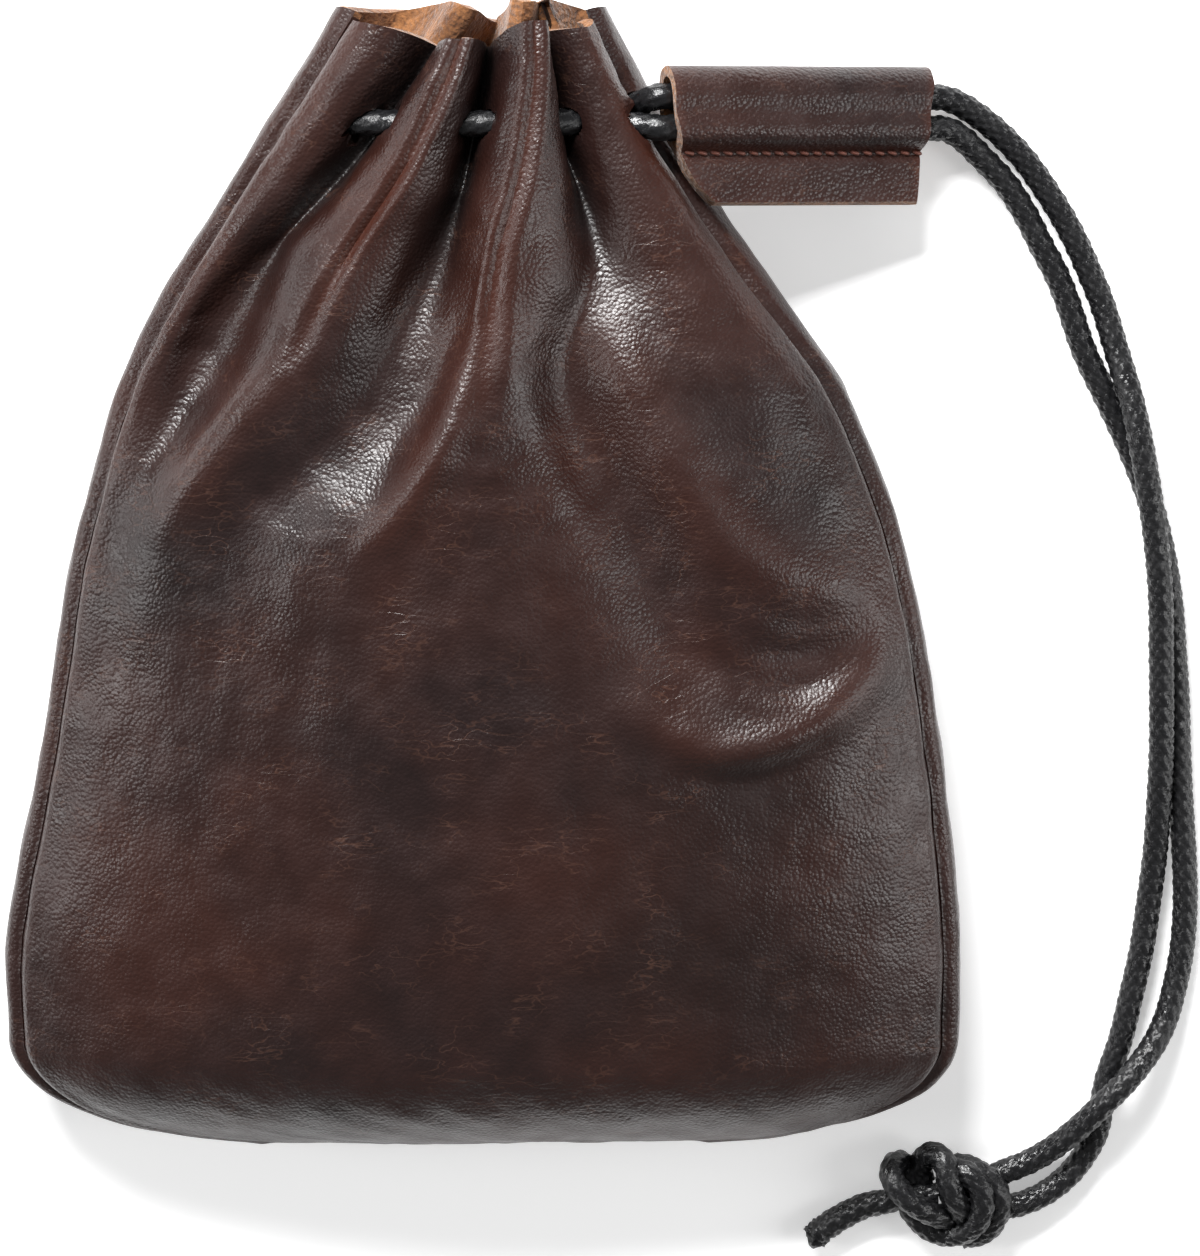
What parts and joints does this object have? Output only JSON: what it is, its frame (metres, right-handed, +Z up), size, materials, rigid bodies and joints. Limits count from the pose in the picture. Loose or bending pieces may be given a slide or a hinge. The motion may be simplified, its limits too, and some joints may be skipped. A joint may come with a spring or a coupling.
{
  "type": "drawstring pouch",
  "caption": "Small leather pouch lying on its back, its neck gathered in pleats on a round cord whose two ends run through a stitched leather slide to one knot",
  "frame": {"origin": "on the ground, under the middle of the pouch without its free cord and knot", "axes": "+Y from the bottom seam to the gathered neck, +Z up from the back panel to the front panel, +X to the side the slide is on"},
  "size_m": [0.1462, 0.1574, 0.0268],
  "materials": {
    "leather": "waxed pull-up leather, dark brown, satin sheen",
    "cord": "round braided cord, black, waxed"
  },
  "bodies": {
    "root": {"front_panel": "leather", "back_panel": "leather", "cord_slide": "leather", "neck_cord": "cord", "cord_strand_outer": "cord", "cord_strand_inner": "cord", "end_knot": "cord"}
  },
  "joints": []
}
